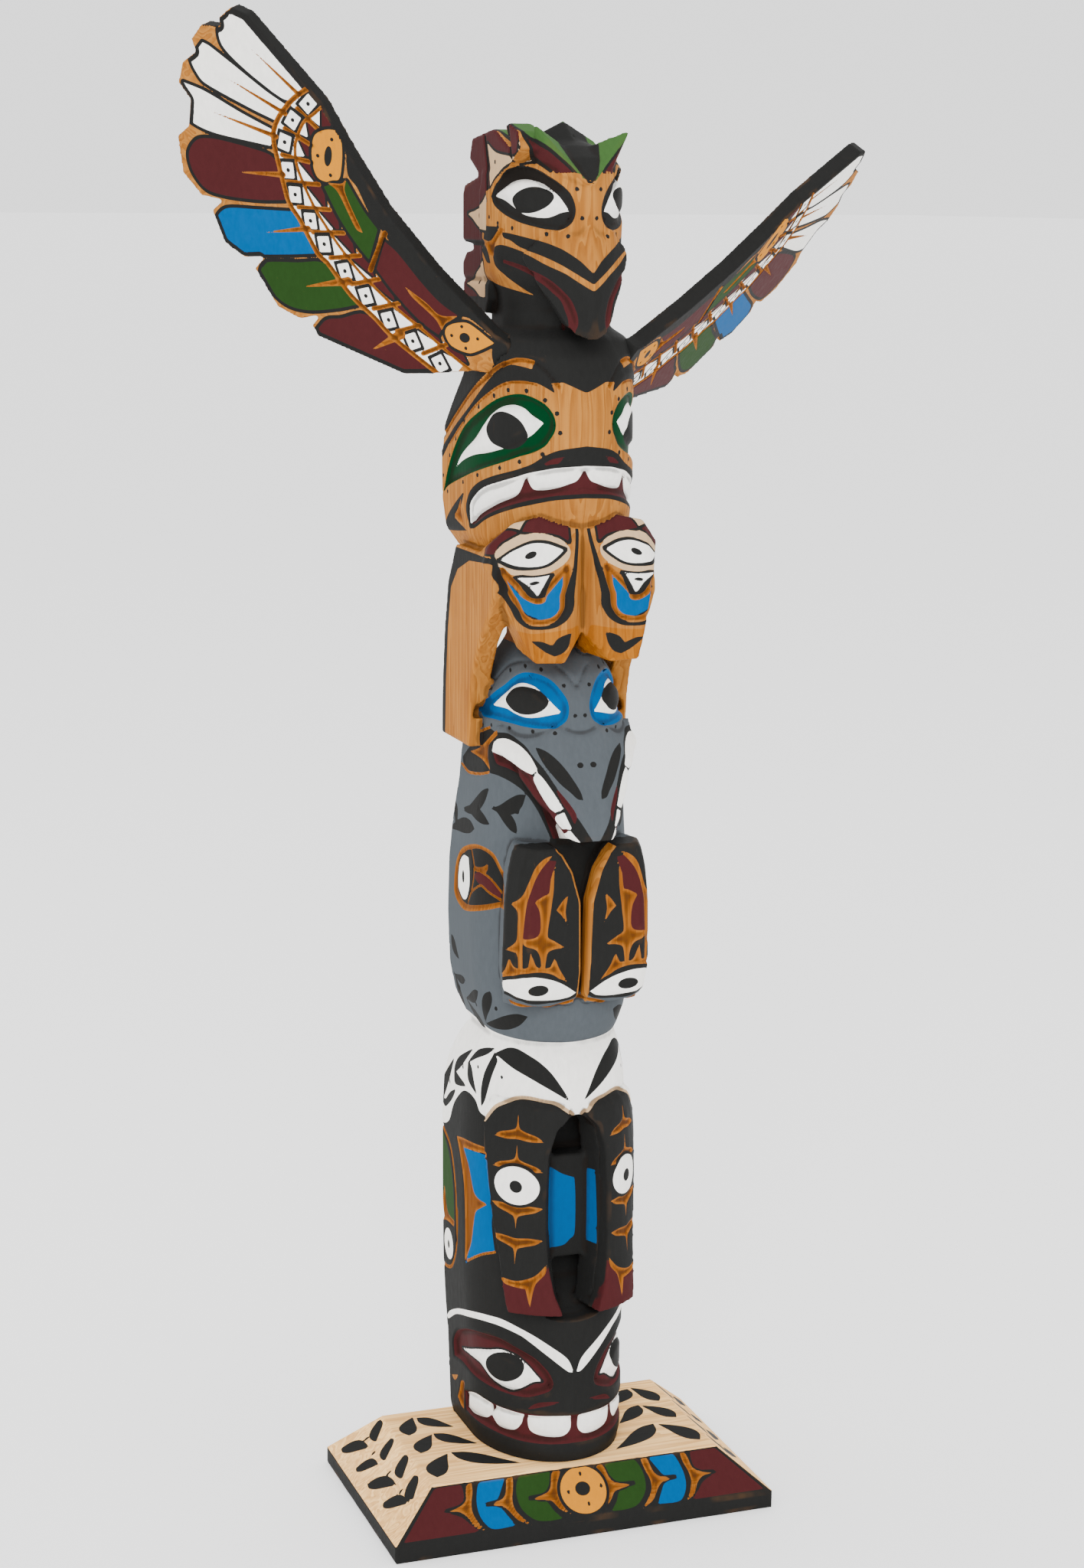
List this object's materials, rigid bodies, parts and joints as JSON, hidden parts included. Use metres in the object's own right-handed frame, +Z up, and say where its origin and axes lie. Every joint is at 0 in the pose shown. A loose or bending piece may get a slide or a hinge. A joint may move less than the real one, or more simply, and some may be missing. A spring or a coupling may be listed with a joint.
{
  "type": "model totem pole",
  "caption": "Carved wooden model totem pole with stacked figures, a beaked winged figure on top, two outspread wing boards and a bevelled rectangular plinth.",
  "frame": {"origin": "centre of the plinth's flat underside", "axes": "+Z up the pole, -Y towards the front that the figures face, +X towards the viewer's right"},
  "size_m": [0.2625, 0.1298, 0.5421],
  "materials": {
    "base": "satin cedar, partly painted",
    "pole": "satin cedar, mostly painted",
    "wing_left": "satin cedar, painted front",
    "wing_right": "satin cedar, painted front"
  },
  "bodies": {
    "root": {"base": "base", "pole": "pole", "wing_left": "wing_left", "wing_right": "wing_right"}
  },
  "joints": []
}
